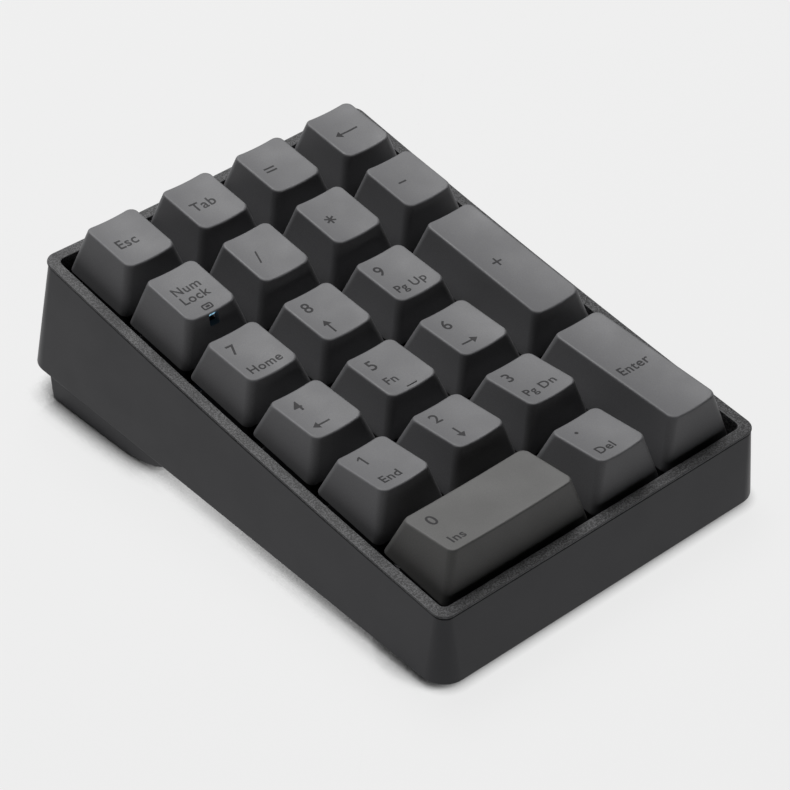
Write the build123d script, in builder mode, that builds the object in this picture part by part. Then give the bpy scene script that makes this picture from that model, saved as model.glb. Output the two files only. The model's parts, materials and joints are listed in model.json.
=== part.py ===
from build123d import *
from math import cos, radians, sin, tan
import os

os.makedirs("parts", exist_ok=True)

# ---------------------------------------------------------------- driving dimensions (mm, degrees)
# Heights called "level" are measured square to the key plane, from the rim of the case.
pitch = 19.05  # one key unit
key_tilt = 7.74  # key plane against the table, back edge up
key_y, key_z = -1.83, 25.7  # centre of the key field on the rim plane

rim_half_w, rim_half_l = 41.6, 59.9  # outer edge of the top frame
rim_w = 2.42  # width of the frame's top face
rim_sag = 1.1  # frame is this much lower halfway along its sides
rim_corner, opening_corner = 2.8, 1.3
back_bow = 0.5  # the back edge is this much further forward in its middle than at its ends
frame_t = 0.75  # case walls end this far under the frame's top face
edge_t, edge_w = 0.45, 0.5  # the frame's outer edge is thinner, which leaves a shadow gap
lip_t, lip_end = 1.02, -5.2  # lip that locates the frame in the case
lip_play = 0.1

side_draft, front_draft, back_draft = 5.21, 13.08, 3.34
front_corner, front_growth = 2.4, 0.17  # wall's corner radius at the top and its gain per mm down
back_corner, back_growth = 2.8, 0.085
least_corner = 1.2
wall_t, floor_t = 2.2, 1.6
seam = 0.25  # case wall stands this far inside the frame's edge
case_depth = 30.0  # the walls are drawn this far down, then cut at the underside
base_tilt = 2.45  # underside against the table
base_y, base_z = -62.71, 1.37  # front bottom edge
foot_inset = 1.1  # rear foot stands inside the case walls
post_r, post_hole_r, post_hole_depth = 2.6, 0.9, 7.0

plate_top, plate_t = -7.6, 1.5
board_top, board_t = -12.6, 1.6
board_half_w, board_half_l = 39.0, 56.5
screw_spots = [(-19.05, 38.1), (19.05, 38.1), (-19.05, -19.05), (19.05, -19.05)]
screw_head_r, screw_head_t, screw_recess = 1.9, 1.0, 0.6
pad_spots = [(-33.0, -52.0), (33.0, -52.0), (-33.0, 44.0), (33.0, 44.0)]
pad_r, pad_t = 4.5, 2.4

socket_w, socket_h, socket_l = 8.94, 3.26, 7.3  # USB socket shell
socket_wall = 0.3
socket_v = 58.2  # mouth of the socket, measured back from the centre of the key field
inlet_w, inlet_h, inlet_r = 12.0, 6.4, 1.2  # opening for the plug in the back wall

cap_w = 18.1  # skirt of a one-unit cap
cap_top_w, cap_top_l = 11.92, 13.9
cap_back_shift = 1.03  # top face sits behind the skirt's centre
cap_bottom = -2.2  # level of the skirt's lower edge
cap_wall, cap_roof, cap_top_wall = 1.35, 1.6, 0.8
skirt_r, top_r, inner_r = 1.3, 1.7, 0.8
dish, long_dish = 0.5, 0.3
cap_post_r = 2.75
cross_long, cross_wide, cross_tall, cross_play = 4.0, 1.3, 3.6, 0.1
window_w, window_low, window_high = 2.4, 4.2, 7.2  # slot that shows the lock lamp

travel = 4.0
switch_top = -1.0  # level of the slider's shoulder, under the cross
housing_w, flange_w, flange_t = 13.9, 15.6, 0.8
upper_w, upper_h, upper_taper = 15.0, 5.2, 22
pin_r, spring_r, spring_wire = 1.3, 2.15, 0.4
slider_low, slider_step = -6.4, -2.5
contact_spots = [(-3.81, 2.54), (2.54, 4.3)]  # the two terminals, from the switch's centre
contact_rise = 1.8
lamp_w, lamp_l, lamp_shift, lamp_top = 3.0, 1.6, -5.1, -2.2

stab_reach = 11.94  # stabiliser to key centre
stab_w, stab_l, stab_h = 6.7, 12.4, 7.2
stab_hook = 7.9  # wire to the line of the stabilisers
wire_t, wire_bend = 1.5, 1.6

# name, column, row, units wide, units deep, level of the top's front and back edge
keys = [
    ("esc", 0, 0, 1, 1, 7.66, 7.57),
    ("tab", 1, 0, 1, 1, 7.66, 7.57),
    ("equals", 2, 0, 1, 1, 7.66, 7.57),
    ("back", 3, 0, 1, 1, 7.66, 7.57),
    ("numlock", 0, 1, 1, 1, 7.64, 7.71),
    ("divide", 1, 1, 1, 1, 7.64, 7.71),
    ("multiply", 2, 1, 1, 1, 7.64, 7.71),
    ("minus", 3, 1, 1, 1, 7.64, 7.71),
    ("7", 0, 2, 1, 1, 6.37, 5.69),
    ("8", 1, 2, 1, 1, 6.37, 5.69),
    ("9", 2, 2, 1, 1, 6.37, 5.69),
    ("plus", 3, 2.5, 1, 2, 7.03, 6.76),
    ("4", 0, 3, 1, 1, 6.38, 4.92),
    ("5", 1, 3, 1, 1, 6.38, 4.92),
    ("6", 2, 3, 1, 1, 6.38, 4.92),
    ("1", 0, 4, 1, 1, 8.11, 5.19),
    ("2", 1, 4, 1, 1, 8.11, 5.19),
    ("3", 2, 4, 1, 1, 8.11, 5.19),
    ("enter", 3, 4.5, 1, 2, 8.58, 5.63),
    ("0", 0.5, 5, 2, 1, 8.38, 5.43),
    ("dot", 2, 5, 1, 1, 8.38, 5.43),
]

# ---------------------------------------------------------------- planes and places
up = (0, -sin(radians(key_tilt)), cos(radians(key_tilt)))
back = (0, cos(radians(key_tilt)), sin(radians(key_tilt)))
key_plane = Plane(origin=(0, key_y, key_z), x_dir=(1, 0, 0), z_dir=up)
side_plane = Plane(origin=(0, key_y, key_z), x_dir=back, z_dir=(1, 0, 0))
base_plane = Plane(
    origin=(0, base_y, base_z),
    x_dir=(1, 0, 0),
    z_dir=(0, -sin(radians(base_tilt)), cos(radians(base_tilt))),
)


def level(height):
    return key_plane.offset(height)


def facing_back(x, v, height):
    """Plane square to the key plane that looks towards the back."""
    return Plane(origin=key_plane.from_local_coords((x, v, height)), x_dir=(-1, 0, 0), z_dir=back)


def spot(key):
    return ((key[1] - 1.5) * pitch, (2.5 - key[2]) * pitch)


def shifted(spots, dx, dv):
    return [(x + dx, v + dv) for x, v in spots]


def is_wide(key):
    return key[3] == 2


def stab_spots(key):
    x, v = spot(key)
    if is_wide(key):
        return [(x - stab_reach, v), (x + stab_reach, v)]
    return [(x, v - stab_reach), (x, v + stab_reach)]


def along(key, length, across):
    """Width and depth of something that runs along a long key."""
    return (length, across) if is_wide(key) else (across, length)


def save(part, name):
    part.label = name
    export_step(part, "parts/" + name + ".step")


spots = [spot(key) for key in keys]
long_keys = [key for key in keys if key[3] + key[4] == 3]


# ---------------------------------------------------------------- case
def bowed_outline(half_w, front, rear, front_r, back_r, mode=Mode.ADD):
    """Rectangle with rounded corners, whose back edge is bowed; rear is where that edge ends."""
    with BuildSketch(mode=Mode.PRIVATE) as outline:
        with BuildLine():
            Polyline((half_w, rear), (half_w, front), (-half_w, front), (-half_w, rear))
            ThreePointArc((-half_w, rear), (0, rear - back_bow), (half_w, rear))
        make_face()
        fillet(outline.vertices().sort_by(Axis.Y)[:2], radius=front_r)
        fillet(outline.vertices().sort_by(Axis.Y)[-2:], radius=back_r)
    add(outline.sketch, mode=mode)


def case_loop(depth, inset):
    """Outline of the case walls, square to the key plane."""
    half_w = rim_half_w - seam + depth * tan(radians(side_draft)) - inset
    front = -rim_half_l + seam - depth * tan(radians(front_draft)) + inset
    rear = rim_half_l + back_bow - seam + depth * tan(radians(back_draft)) - inset
    front_r = max(front_corner + front_growth * depth - inset, least_corner)
    back_r = max(back_corner + back_growth * depth - inset, least_corner)
    with BuildSketch(level(-depth)) as loop:
        bowed_outline(half_w, front, rear, front_r, back_r)
    return loop.sketch


def over_surface(drop):
    """Block of space above the curved surface that lies drop under the rim."""
    reach = rim_half_l + 12
    end = rim_sag * (reach / rim_half_l) ** 2 - rim_sag - drop
    sky = 40
    with BuildPart() as space:
        with BuildSketch(side_plane.offset(-60)):
            with BuildLine():
                ThreePointArc((-reach, end), (0, -rim_sag - drop), (reach, end))
                Polyline((reach, end), (reach, sky), (-reach, sky), (-reach, end))
            make_face()
        extrude(amount=120)
    return space.part


def rim_outline(grow, corner, mode=Mode.ADD):
    """Outline that stands grow outside the frame's opening."""
    half_w = rim_half_w - rim_w + grow
    half_l = rim_half_l - rim_w + grow
    bowed_outline(half_w, -half_l, half_l + back_bow, corner, corner, mode)


with BuildPart() as shadow_gap:
    with BuildSketch(level(-frame_t - 3)):
        rim_outline(rim_w + 1, rim_corner + 1)
        rim_outline(rim_w - edge_w, rim_corner - edge_w, Mode.SUBTRACT)
    extrude(amount=frame_t + 6)
    add(over_surface(edge_t), mode=Mode.SUBTRACT)

with BuildPart() as upper_case:
    with BuildSketch(level(-frame_t - 3)):
        rim_outline(rim_w, rim_corner)
    extrude(amount=frame_t + 6)
    add(over_surface(frame_t), mode=Mode.INTERSECT)
    add(shadow_gap, mode=Mode.SUBTRACT)
    with BuildSketch(level(lip_end)):
        rim_outline(lip_t, opening_corner + lip_t)
    extrude(amount=-lip_end)
    add(over_surface(0), mode=Mode.SUBTRACT)
    with BuildSketch(level(plate_top - 1)):
        rim_outline(0, opening_corner)
    extrude(amount=12, mode=Mode.SUBTRACT)

with BuildPart() as foot_space:
    add(case_loop(0, foot_inset))
    add(case_loop(case_depth + 10, foot_inset))
    loft()

with BuildPart() as rear_foot:
    with BuildSketch(Plane.YZ.offset(-50)):
        with BuildLine():
            Polyline(
                (61.8, 10.0),
                (61.8, 7.0),
                (56.6, 5.3),
                (55.4, 0.5),
                (32.0, 0.5),
                (26.2, 1.3),
                (22.4, 2.4),
                (19.0, 4.2),
                (17.0, 6.2),
                (61.8, 10.0),
            )
        make_face()
    extrude(amount=100)
    add(foot_space, mode=Mode.INTERSECT)

with BuildPart() as case_block:
    add(case_loop(0, 0))
    add(case_loop(case_depth, 0))
    loft()
    split(bisect_by=base_plane, keep=Keep.TOP)
    add(rear_foot)

with BuildPart() as case_cavity:
    add(case_loop(-1, wall_t))
    add(case_loop(case_depth, wall_t))
    loft()
    split(bisect_by=base_plane.offset(floor_t), keep=Keep.TOP)

with BuildPart() as case_posts:
    with BuildSketch(level(plate_top - plate_t)):
        with Locations(*screw_spots):
            Circle(post_r)
    extrude(amount=-20)
    split(bisect_by=base_plane.offset(floor_t / 2), keep=Keep.TOP)
    with BuildSketch(level(plate_top - plate_t)):
        with Locations(*screw_spots):
            Circle(post_hole_r)
    extrude(amount=-post_hole_depth, mode=Mode.SUBTRACT)

inlet_level = board_top - board_t - socket_h / 2 - 0.02  # the socket hangs under the board

with BuildPart() as lower_case:
    add(case_block)
    add(case_cavity, mode=Mode.SUBTRACT)
    add(case_posts)
    add(over_surface(frame_t), mode=Mode.SUBTRACT)
    with BuildSketch(level(lip_end - 2 * lip_play)):
        rim_outline(lip_t + lip_play, opening_corner + lip_t + lip_play)
    extrude(amount=10, mode=Mode.SUBTRACT)
    with BuildSketch(Plane.XY):
        with Locations(*pad_spots):
            Circle(pad_r)
    extrude(amount=pad_t, mode=Mode.SUBTRACT)
    with BuildSketch(facing_back(0, socket_v - 4, inlet_level)):
        RectangleRounded(inlet_w, inlet_h, inlet_r)
    extrude(amount=14, mode=Mode.SUBTRACT)

with BuildPart() as rubber_feet:
    with BuildSketch(Plane.XY):
        with Locations(*pad_spots):
            Circle(pad_r)
    extrude(amount=pad_t)

save(upper_case.part, "upper_case")
save(lower_case.part, "lower_case")
save(rubber_feet.part, "rubber_feet")

# ---------------------------------------------------------------- plate, board, screws, socket
cutout_w = housing_w + 0.1
stab_cut = 0.2  # play of a stabiliser housing in the plate

with BuildPart() as switch_plate:
    with BuildSketch(level(plate_top)):
        Rectangle(2 * board_half_w, 2 * board_half_l)
        with Locations(*spots):
            Rectangle(cutout_w, cutout_w, mode=Mode.SUBTRACT)
        for key in long_keys:
            with Locations(*stab_spots(key)):
                Rectangle(*along(key, stab_w + stab_cut, stab_l + stab_cut), mode=Mode.SUBTRACT)
        with Locations(*screw_spots):
            Circle(post_hole_r + 0.15, mode=Mode.SUBTRACT)
    extrude(amount=-plate_t)

with BuildPart() as circuit_board:
    with BuildSketch(level(board_top)):
        Rectangle(2 * board_half_w, 2 * board_half_l)
        with Locations(*spots):
            Circle(2.05, mode=Mode.SUBTRACT)
        for dx, dv in contact_spots:
            with Locations(*shifted(spots, dx, dv)):
                Circle(0.75, mode=Mode.SUBTRACT)
        with Locations(*screw_spots):
            Circle(post_r + 0.2, mode=Mode.SUBTRACT)
    extrude(amount=-board_t)

with BuildPart() as plate_screws:
    with BuildSketch(level(plate_top)):
        with Locations(*screw_spots):
            Circle(screw_head_r)
    extrude(amount=screw_head_t)
    with BuildSketch(level(plate_top)):
        with Locations(*screw_spots):
            Circle(post_hole_r)
    extrude(amount=-post_hole_depth)
    with BuildSketch(level(plate_top + screw_head_t)):
        with Locations(*screw_spots):
            Rectangle(2.4, 0.5)
            Rectangle(0.5, 2.4)
    extrude(amount=-screw_recess, mode=Mode.SUBTRACT)

with BuildPart() as controller_chip:
    with BuildSketch(level(board_top - board_t)):
        with Locations((pitch / 2, 2 * pitch)):
            Rectangle(9.0, 9.0)
    extrude(amount=-1.2)

with BuildPart() as usb_socket:
    with BuildSketch(facing_back(0, socket_v, inlet_level)):
        RectangleRounded(socket_w, socket_h, 1.4)
    extrude(amount=-socket_l)
    with BuildSketch(facing_back(0, socket_v, inlet_level)):
        RectangleRounded(socket_w - 2 * socket_wall, socket_h - 2 * socket_wall, 1.1)
        Rectangle(6.69, 0.7, mode=Mode.SUBTRACT)
    extrude(amount=-socket_l + 1.1, mode=Mode.SUBTRACT)

save(switch_plate.part, "switch_plate")
save(circuit_board.part, "circuit_board")
save(plate_screws.part, "plate_screws")
save(controller_chip.part, "controller_chip")
save(usb_socket.part, "usb_socket")

# ---------------------------------------------------------------- switches
lamp_slot = (3.6, 2.4)  # gap for the lamp through both halves of a housing

with BuildPart() as switch_lower_housings:
    with BuildSketch(level(board_top)):
        with Locations(*spots):
            Rectangle(housing_w, housing_w)
    extrude(amount=plate_top - board_top)
    with BuildSketch(level(plate_top)):
        with Locations(*spots):
            Rectangle(flange_w, flange_w)
    extrude(amount=flange_t)
    with BuildSketch(level(board_top + 1.0)):
        with Locations(*shifted(spots, 0, 0.9)):
            Rectangle(10.4, 9.0)
    extrude(amount=6, mode=Mode.SUBTRACT)
    with BuildSketch(level(board_top)):
        with Locations(*shifted(spots, 0, -5.3)):
            Rectangle(*lamp_slot)
    extrude(amount=7, mode=Mode.SUBTRACT)
    with BuildSketch(level(board_top - board_t)):
        with Locations(*spots):
            Circle(1.95)
    extrude(amount=board_t)
    with BuildSketch(level(board_top)):
        with Locations(*spots):
            Circle(pin_r)
    extrude(amount=3.6)
    with BuildSketch(level(board_top)):
        for dx, dv in contact_spots:
            with Locations(*shifted(spots, dx, dv)):
                Rectangle(1.1, 0.5)
    extrude(amount=1.0, mode=Mode.SUBTRACT)

with BuildPart() as switch_upper_housings:
    with BuildSketch(level(plate_top + flange_t)):
        with Locations(*spots):
            RectangleRounded(upper_w, upper_w, 0.8)
    extrude(amount=upper_h, taper=upper_taper)
    with BuildSketch(level(plate_top + flange_t)):
        with Locations(*shifted(spots, 0, 0.9)):
            Rectangle(9.6, 8.0)
    extrude(amount=upper_h - 1.2, mode=Mode.SUBTRACT)
    with BuildSketch(level(plate_top + flange_t)):
        with Locations(*spots):
            RectangleRounded(7.4, 6.6, 0.8)
        with Locations(*shifted(spots, 0, -5.3)):
            Rectangle(*lamp_slot)
    extrude(amount=6, mode=Mode.SUBTRACT)

with BuildPart() as switch_springs:
    with BuildSketch(level(board_top + 1.0)):
        with Locations(*spots):
            Circle(spring_r)
        with Locations(*spots):
            Circle(spring_r - spring_wire, mode=Mode.SUBTRACT)
    extrude(amount=8.4)

with BuildPart() as switch_contacts:
    with BuildSketch(level(board_top - board_t - 0.8)):
        for dx, dv in contact_spots:
            with Locations(*shifted(spots, dx, dv)):
                Rectangle(1.0, 0.3)
    extrude(amount=board_t + 0.8 + contact_rise)

with BuildPart() as lock_led:
    with BuildSketch(level(board_top)):
        with Locations(*shifted([spot(keys[4])], 0, lamp_shift)):
            Rectangle(lamp_w, lamp_l)
    extrude(amount=lamp_top - board_top)

save(switch_lower_housings.part, "switch_lower_housings")
save(switch_upper_housings.part, "switch_upper_housings")
save(switch_springs.part, "switch_springs")
save(switch_contacts.part, "switch_contacts")
save(lock_led.part, "lock_led")


def cross(play):
    """Cross of a slider, or with play the socket that takes it."""
    Rectangle(cross_long + play, cross_wide + play)
    Rectangle(cross_wide - 0.15 + play, cross_long + play)


def switch_stem(x, v):
    """Slider of one switch with the cross that carries the cap."""
    with BuildPart() as stem:
        with BuildSketch(level(slider_low)):
            with Locations((x, v)):
                Rectangle(7.0, 6.0)
        extrude(amount=slider_step - slider_low)
        with BuildSketch(level(slider_step)):
            with Locations((x, v)):
                Rectangle(6.6, 5.0)
        extrude(amount=switch_top - slider_step)
        with BuildSketch(level(switch_top)):
            with Locations((x, v)):
                cross(0)
        extrude(amount=cross_tall)
        with BuildSketch(level(slider_low)):
            with Locations((x, v)):
                Circle(spring_r + 0.25)
        extrude(amount=3.3, mode=Mode.SUBTRACT)
    return stem.part


for key in keys:
    save(switch_stem(*spot(key)), "stem_" + key[0])


# ---------------------------------------------------------------- stabilisers of the long keys
def wire_path(key):
    """Corners of the wire's U, from one stabiliser round to the other."""
    near, far = -3.4, -stab_hook
    first, last = stab_spots(key)
    if is_wide(key):
        return [
            (first[0], first[1] + near),
            (first[0], first[1] + far),
            (last[0], last[1] + far),
            (last[0], last[1] + near),
        ]
    return [
        (first[0] + near, first[1]),
        (first[0] + far, first[1]),
        (last[0] + far, last[1]),
        (last[0] + near, last[1]),
    ]


with BuildPart() as stabiliser_housings:
    for key in long_keys:
        with BuildSketch(level(board_top)):
            with Locations(*stab_spots(key)):
                Rectangle(*along(key, stab_w, stab_l))
        extrude(amount=stab_h)
        with BuildSketch(level(board_top + 0.8)):
            with Locations(*stab_spots(key)):
                Rectangle(*along(key, 4.7, 5.8))
        extrude(amount=stab_h, mode=Mode.SUBTRACT)
        hook = (0, -4.6) if is_wide(key) else (-4.6, 0)
        with BuildSketch(level(board_top + 0.6)):
            with Locations(*shifted(stab_spots(key), *hook)):
                Rectangle(*along(key, 2.0, 3.6))
        extrude(amount=2.3, mode=Mode.SUBTRACT)

with BuildPart() as stabiliser_wires:
    for key in long_keys:
        points = wire_path(key)
        with BuildSketch(level(board_top + 1.0)):
            with BuildLine():
                FilletPolyline(*points, radius=wire_bend)
            trace(line_width=wire_t)
        extrude(amount=wire_t)

save(stabiliser_housings.part, "stabiliser_housings")
save(stabiliser_wires.part, "stabiliser_wires")

for key in long_keys:
    with BuildPart() as sliders:
        with BuildSketch(level(-7.7)):
            with Locations(*stab_spots(key)):
                Rectangle(*along(key, 3.9, 5.0))
        extrude(amount=7.7 + switch_top)
        with BuildSketch(level(switch_top)):
            with Locations(*stab_spots(key)):
                cross(0)
        extrude(amount=cross_tall)
    save(sliders.part, "stabiliser_stems_" + key[0])


# ---------------------------------------------------------------- key caps
def keycap(key):
    """Sculpted hollow cap: tapered skirt, tilted top, cylindrical dish, cross sockets."""
    name, column, row, wide, deep, high_front, high_back = key
    x, v = spot(key)
    extra_w, extra_l = (wide - 1) * pitch, (deep - 1) * pitch
    slope = (high_back - high_front) / (cap_top_l + extra_l)
    lean = radians(key_tilt) + slope
    middle = (high_front + high_back) / 2
    top = Plane(
        origin=key_plane.from_local_coords((x, v + cap_back_shift, middle)),
        x_dir=(1, 0, 0),
        z_dir=(0, -sin(lean), cos(lean)),
    )
    top_w, top_l = cap_top_w + extra_w, cap_top_l + extra_l
    skirt_w, skirt_l = cap_w + extra_w, cap_w + extra_l
    sink = dish if wide == 1 else long_dish
    dish_r = (top_w / 2) ** 2 / (2 * sink) + sink / 2
    posts = [(x, v)] + (stab_spots(key) if key in long_keys else [])
    with BuildPart() as cap:
        with BuildSketch(level(cap_bottom)):
            with Locations((x, v)):
                RectangleRounded(skirt_w, skirt_l, skirt_r)
        with BuildSketch(top):
            RectangleRounded(top_w, top_l, top_r)
        loft()
        with BuildSketch(level(cap_bottom)):
            with Locations((x, v)):
                RectangleRounded(skirt_w - 2 * cap_wall, skirt_l - 2 * cap_wall, inner_r)
        with BuildSketch(top.offset(-cap_roof - sink)):
            RectangleRounded(top_w - 2 * cap_top_wall, top_l - 2 * cap_top_wall, inner_r)
        loft(mode=Mode.SUBTRACT)
        with BuildSketch(level(switch_top)):
            with Locations(*posts):
                Circle(cap_post_r)
        extrude(amount=middle - 1.0 - switch_top)
        with BuildSketch(level(switch_top)):
            with Locations(*posts):
                cross(cross_play)
        extrude(amount=cross_tall + cross_play, mode=Mode.SUBTRACT)
        with Locations(top.offset(dish_r - sink)):
            Cylinder(dish_r, top_l + 12, rotation=(90, 0, 0), mode=Mode.SUBTRACT)
        if name == "numlock":
            with BuildSketch(facing_back(x, v - 12, (window_low + window_high) / 2)):
                Rectangle(window_w, window_high - window_low)
            extrude(amount=7.2, mode=Mode.SUBTRACT)
    return cap.part


for key in keys:
    save(keycap(key), "keycap_" + key[0])
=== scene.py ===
import json
from math import atan2, cos, exp, hypot, pi, radians, sin, tan

import bmesh
import bpy
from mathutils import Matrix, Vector


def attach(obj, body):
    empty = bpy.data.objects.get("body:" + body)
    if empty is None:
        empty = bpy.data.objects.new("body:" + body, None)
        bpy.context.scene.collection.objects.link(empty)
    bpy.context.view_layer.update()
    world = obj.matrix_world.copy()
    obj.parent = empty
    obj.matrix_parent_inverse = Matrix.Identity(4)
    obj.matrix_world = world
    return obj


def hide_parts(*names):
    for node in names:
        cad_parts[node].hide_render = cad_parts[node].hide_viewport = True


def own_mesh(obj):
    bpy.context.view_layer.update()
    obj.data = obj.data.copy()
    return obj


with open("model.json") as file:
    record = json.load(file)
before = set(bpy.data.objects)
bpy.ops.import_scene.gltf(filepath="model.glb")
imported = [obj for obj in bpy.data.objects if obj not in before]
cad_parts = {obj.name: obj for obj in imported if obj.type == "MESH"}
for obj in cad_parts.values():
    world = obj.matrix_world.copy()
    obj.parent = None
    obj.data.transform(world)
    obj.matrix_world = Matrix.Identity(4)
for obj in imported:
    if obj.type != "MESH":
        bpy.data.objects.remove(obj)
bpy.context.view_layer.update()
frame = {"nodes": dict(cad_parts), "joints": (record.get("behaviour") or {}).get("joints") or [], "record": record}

# ------------------------------------------------------------ driving dimensions (millimetres)
# A shape is drawn in key-plane places (x, v, n): to the right, towards the back and square
# to the key plane, from the centre of the key field at the level of the rim.
MM = 0.001
KEY_ORIGIN = Vector((0, -1.83, 25.7))
UP = -Vector(frame["joints"][0]["axis"]).normalized()
RIGHT = Vector((1, 0, 0))
BACK = UP.cross(RIGHT)

CAP_BOTTOM = -2.2
SIDE_LEAN, END_LEAN = 3.09, 2.1  # how far the top is smaller than the skirt, on each side
BACK_SHIFT = 1.03  # how far the top's middle is behind the skirt's
DISH, LONG_DISH = 0.5, 0.3
SKIRT_R, TOP_R, INNER_R = 1.5, 1.7, 0.8
CAP_WALL, CAP_ROOF, CAP_TOP_WALL = 1.35, 1.6, 0.8
CAP_EDGE, CAP_LOW_EDGE = 0.42, 0.15  # rounding of the top's edge and of the skirt's lower end
DISH_INSET = 1.2  # where the rings of the dish start, inside the top's edge
DISH_RINGS = (0.84, 0.66, 0.48, 0.3, 0.14)  # and their sizes, as shares of the first
CROSS_LEVEL, CROSS_POST_R = -1.0, 2.75
CROSS_LONG, CROSS_WIDE, CROSS_TALL, CROSS_CORNER = 4.1, 1.4, 3.7, 0.6
STAB_REACH = 11.94  # from a long key's middle to its stabilisers
WINDOW_W, WINDOW_LOW, WINDOW_HIGH, WINDOW_R = 2.4, 4.35, 6.9, 0.35
LENS_HALF_H, LENS_BULGE, LENS_BACK, LENS_R = 0.55, 0.25, 0.9, 0.3
LENS_SUNK = 0.5  # how far the lens is behind the front edge of the cap's top
GLOW_X, GLOW_LOW, GLOW_R = 0.45, 0.12, 0.32  # the two bright spots
BAR_HALF_L, BAR_HALF_W, BAR_R, BAR_LIFT, BAR_SUNK = 1.3, 0.19, 0.18, 0.17, 0.4
BAR_X, BAR_ALONG = 0.1, -5.95

# level of the front and back edge of each cap's top
TOP_LEVELS = {
    ("esc", "tab", "equals", "back"): (7.66, 7.57),
    ("numlock", "divide", "multiply", "minus"): (7.64, 7.71),
    ("7", "8", "9"): (6.37, 5.69),
    ("plus",): (7.03, 6.76),
    ("4", "5", "6"): (6.38, 4.92),
    ("1", "2", "3"): (8.11, 5.19),
    ("enter",): (8.58, 5.63),
    ("0", "dot"): (8.38, 5.43),
}

RIM_HALF_W, RIM_HALF_L = 41.6, 59.9
RIM_W, RIM_SAG, RIM_CORNER, OPENING_CORNER = 2.42, 1.1, 2.8, 1.3
BACK_BOW = 0.5  # the back edge is further forward in its middle than at its ends
FRAME_T, LIP_T, LIP_END = 0.75, 1.02, -5.2
EDGE_T, EDGE_W = 0.45, 0.5  # thinner outer edge of the frame, over a shadow gap
FRAME_OUTER_R, FRAME_INNER_R, FRAME_LOW_R = 0.27, 0.22, 0.08
SEAM = 0.25  # how far the walls stand back from the frame's outer edge
SIDE_DRAFT, FRONT_DRAFT, BACK_DRAFT = radians(5.21), radians(13.08), radians(3.34)
FRONT_CORNER, FRONT_GROWTH = 2.4, 0.17
BACK_CORNER, BACK_GROWTH = 2.8, 0.085
LEAST_CORNER = 1.2
WALL_T, FLOOR_T = 2.2, 1.6
REBATE_GAP, REBATE_DEEPER = 0.1, 0.2  # play round the frame's lip
TUB_LOW_R, TUB_TOP_R, FOOT_R = 0.28, 0.2, 0.3
CASE_DEPTH = 30.0  # the wall lines are drawn to this depth and cut where the underside is
BASE_TILT = radians(2.45)
BASE_POINT = Vector((0, -62.71, 1.37))
BASE_UP = Vector((0, -sin(BASE_TILT), cos(BASE_TILT)))
FOOT_INSET = 1.1
FOOT_PROFILE = [  # rear foot from the side, y and z
    (61.8, 10.0),
    (61.8, 7.0),
    (56.6, 5.3),
    (55.4, 0.5),
    (32.0, 0.5),
    (26.2, 1.3),
    (22.4, 2.4),
    (19.0, 4.2),
    (17.0, 6.2),
]
SPRING_R, WIRE_R = 1.95, 0.19
SPRING_TURNS, END_PITCH = 8, 0.42  # the first and the last turn are closed
COIL_STEPS, WIRE_STEPS = 16, 8
SCREW_SPOTS = [(-19.05, 38.1), (19.05, 38.1), (-19.05, -19.05), (19.05, -19.05)]
POST_R, POST_TOP = 2.6, -9.1
PAD_SPOTS = [(-33.0, -52.0), (33.0, -52.0), (-33.0, 44.0), (33.0, 44.0)]
PAD_R, PAD_T, PAD_EDGE = 4.5, 2.4, 0.5
INLET_LEVEL, INLET_W, INLET_H, INLET_R = -15.85, 12.0, 6.4, 1.2
USB_V, USB_L, USB_DEEP = 58.2, 7.3, 6.2
USB_HALF_W, USB_HALF_H, USB_WALL, USB_CORNER = 4.47, 1.63, 0.3, 1.4
TONGUE_HALF_W, TONGUE_HALF_H, TONGUE_R = 3.3, 0.35, 0.12
TONGUE_FRONT, TONGUE_CHAMFER = 0.6, 0.15
CONTACTS, CONTACT_PITCH, CONTACT_HALF_W = 12, 0.5, 0.13  # on each side of the tongue
CONTACT_IN, CONTACT_OUT, CONTACT_REAR, CONTACT_FRONT = 0.3, 0.39, 5.5, 1.0

SHARP = radians(35)  # an edge that turns by more is shaded as a sharp one
SCENE = bpy.context.scene
COLLECTION = SCENE.collection


# ------------------------------------------------------------ mesh helpers
def place(point):
    """World place in metres of a key-plane point in millimetres."""
    x, v, n = point
    return (KEY_ORIGIN + x * RIGHT + v * BACK + n * UP) * MM


def key_coords(world):
    """Key-plane place in millimetres of a world point in millimetres."""
    offset = Vector(world) - KEY_ORIGIN
    return (offset.dot(RIGHT), offset.dot(BACK), offset.dot(UP))


def middle_and_half(node, direction):
    """Centre and half size of a CAD node along a direction, from the key origin."""
    reach = [(v.co / MM - KEY_ORIGIN).dot(direction) for v in frame["nodes"][node].data.vertices]
    return (min(reach) + max(reach)) / 2, (max(reach) - min(reach)) / 2


def rounded_rect(half_w, half_l, radius, corner_steps=8, side_steps=(8, 8)):
    """Outline of a rounded rectangle, anticlockwise, as (x, v), with the same count for any size."""
    points = []
    for quarter in range(4):
        cx = (half_w - radius) * (1 if quarter in (0, 3) else -1)
        cv = (half_l - radius) * (1 if quarter in (0, 1) else -1)
        arc = []
        for step in range(corner_steps + 1):
            angle = pi / 2 * (quarter + step / corner_steps)
            arc.append((cx + radius * cos(angle), cv + radius * sin(angle)))
        points += arc
        across = quarter in (0, 2)
        steps = side_steps[0] if across else side_steps[1]
        length = 2 * ((half_w if across else half_l) - radius)
        turn = pi / 2 * (quarter + 1)
        start = arc[-1]
        for step in range(1, steps):
            run = length * step / steps
            points.append((start[0] - run * sin(turn), start[1] + run * cos(turn)))
    return points


def circle(x, v, radius, count):
    turns = [2 * pi * i / count for i in range(count)]
    return [(x + radius * cos(turn), v + radius * sin(turn)) for turn in turns]


def mean_point(points):
    return tuple(sum(p[axis] for p in points) / len(points) for axis in range(3))


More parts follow.
